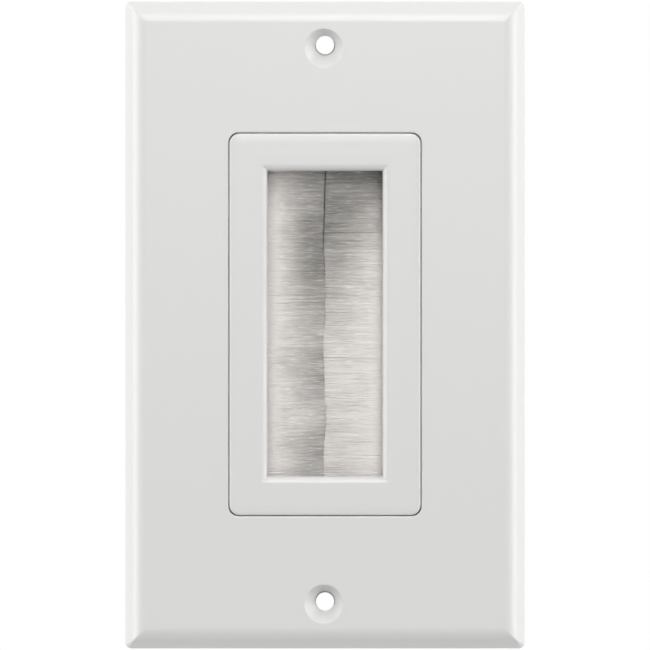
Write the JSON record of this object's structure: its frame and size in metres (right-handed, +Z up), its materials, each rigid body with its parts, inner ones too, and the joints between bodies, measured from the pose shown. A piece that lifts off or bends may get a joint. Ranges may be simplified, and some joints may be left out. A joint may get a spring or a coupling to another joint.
{
  "type": "brush wall plate",
  "caption": "White wall plate with a brush insert: two banks of nylon bristles meet in a window, so cables can pass through the wall.",
  "frame": {"origin": "middle of the plate, in the plane of the wall's surface that the plate's rim and the insert's ears lie on", "axes": "+X across the plate to the right as seen from the room, +Y from the room into the wall, +Z up the plate's long side"},
  "size_m": [0.0698, 0.014, 0.113],
  "materials": {
    "gloss_white_abs": "moulded gloss white",
    "satin_white_abs": "moulded semi-gloss white",
    "inner_abs": "moulded, fine texture",
    "galvanised_sheet": "rolled, zinc coated",
    "steel_wire": "drawn",
    "nylon_filament": "clear drawn filament",
    "zinc_plate": "bright zinc plate"
  },
  "bodies": {
    "root": {"wall_plate": "gloss_white_abs", "brush_insert": "satin_white_abs", "rear_retainer": "inner_abs", "left_brush_channel": "galvanised_sheet", "right_brush_channel": "galvanised_sheet", "left_core_wire": "steel_wire", "right_core_wire": "steel_wire", "left_bristles": "nylon_filament", "right_bristles": "nylon_filament", "lower_left_retainer_screw": "zinc_plate", "upper_left_retainer_screw": "zinc_plate", "lower_right_retainer_screw": "zinc_plate", "upper_right_retainer_screw": "zinc_plate"}
  },
  "joints": []
}
